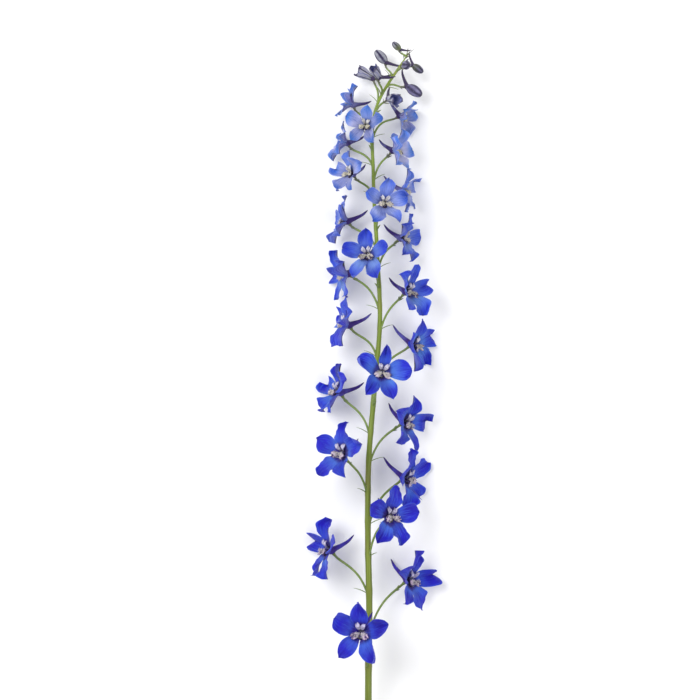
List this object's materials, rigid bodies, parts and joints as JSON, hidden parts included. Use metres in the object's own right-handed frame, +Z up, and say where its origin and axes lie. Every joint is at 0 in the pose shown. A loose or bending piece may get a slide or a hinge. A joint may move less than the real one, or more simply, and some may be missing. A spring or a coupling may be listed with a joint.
{
  "type": "delphinium flower spike",
  "caption": "Cut flower spike lying on its side: a slender stem set all round with stalked, spurred blooms, each with a pale tuft, then half-open blooms and a nodding tip of buds.",
  "frame": {"origin": "middle of the spike's length and width, on the surface that it lies on", "axes": "+Y from the cut end of the stem to the tip, +Z up off the surface, +X to the right seen from above with the tip away"},
  "size_m": [0.0854, 0.5952, 0.0593],
  "materials": {
    "stem": "satin green plant stem",
    "bloom": "matte petal, royal blue",
    "bee": "matte petal, cream",
    "half_open": "matte petal, striped lavender blue",
    "bud": "matte closed petals, dark purple"
  },
  "bodies": {
    "root": {"stem": "stem", "bloom_01": "bloom", "bee_01": "bee", "bloom_02": "bloom", "bee_02": "bee", "bloom_03": "bloom", "bee_03": "bee", "bloom_04": "bloom", "bee_04": "bee", "bloom_05": "bloom", "bee_05": "bee", "bloom_06": "bloom", "bee_06": "bee", "bloom_07": "bloom", "bee_07": "bee", "bloom_08": "bloom", "bee_08": "bee", "bloom_09": "bloom", "bee_09": "bee", "bloom_10": "bloom", "bee_10": "bee", "bloom_11": "bloom", "bee_11": "bee", "bloom_12": "bloom", "bee_12": "bee", "bloom_13": "bloom", "bee_13": "bee", "bloom_14": "bloom", "bee_14": "bee", "bloom_15": "bloom", "bee_15": "bee", "bloom_16": "bloom", "bee_16": "bee", "bloom_17": "bloom", "bee_17": "bee", "bloom_18": "bloom", "bee_18": "bee", "bloom_19": "bloom", "bee_19": "bee", "bloom_20": "bloom", "bee_20": "bee", "bloom_21": "bloom", "bee_21": "bee", "bloom_22": "bloom", "bee_22": "bee", "bloom_23": "bloom", "bee_23": "bee", "bloom_24": "bloom", "bee_24": "bee", "half_open_25": "half_open", "half_open_26": "half_open", "half_open_27": "half_open", "bud_28": "bud", "bud_29": "bud", "bud_30": "bud", "bud_31": "bud", "bud_32": "bud"}
  },
  "joints": []
}
